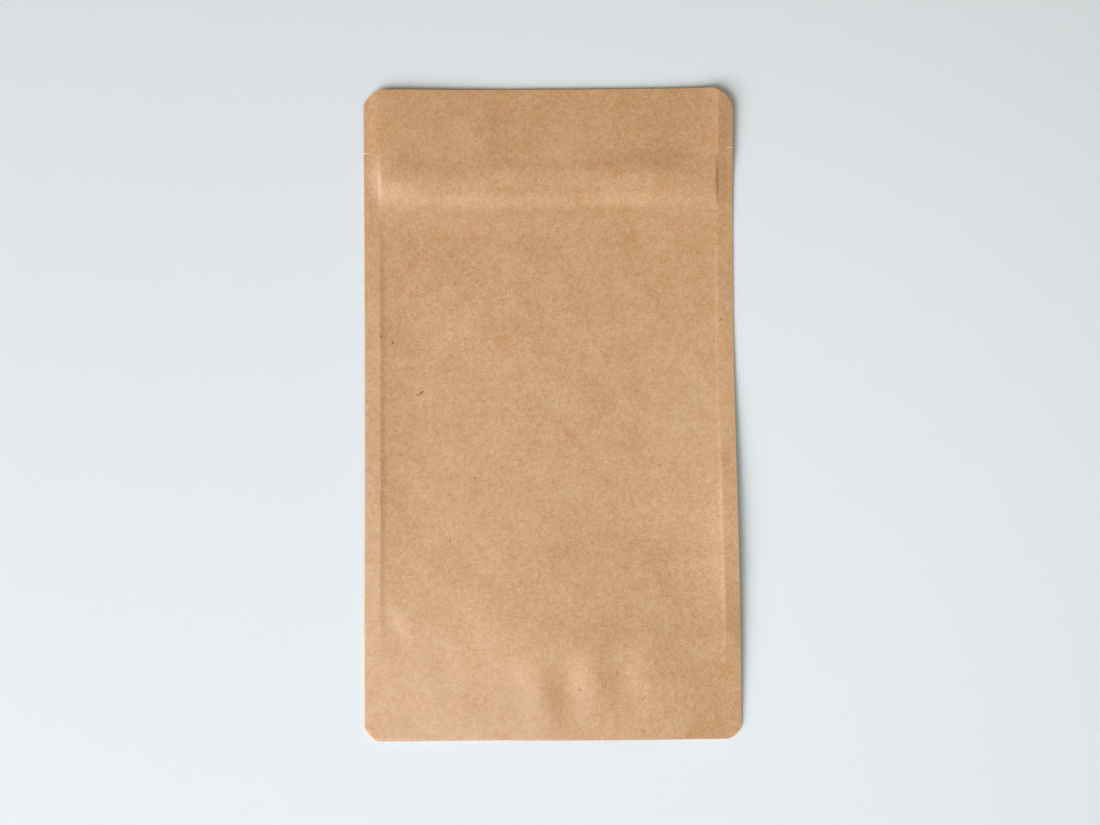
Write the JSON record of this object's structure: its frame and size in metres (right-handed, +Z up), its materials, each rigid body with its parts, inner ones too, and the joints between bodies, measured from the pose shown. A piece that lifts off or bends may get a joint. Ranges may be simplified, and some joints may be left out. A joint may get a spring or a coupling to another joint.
{
  "type": "stand-up pouch",
  "caption": "Plain kraft paper stand-up pouch, empty and shut, lying flat: sealed sides, rounded corners, tear notches, a raised zip band and a folded-in bottom gusset.",
  "frame": {"origin": "middle of the pouch's footprint, on the surface it lies on", "axes": "+X across the pouch, +Y along it towards the mouth, +Z up out of the front panel"},
  "size_m": [0.13, 0.2276, 0.0051],
  "materials": {
    "kraft_paper": "matte"
  },
  "bodies": {
    "root": {"pouch": "kraft_paper"}
  },
  "joints": []
}
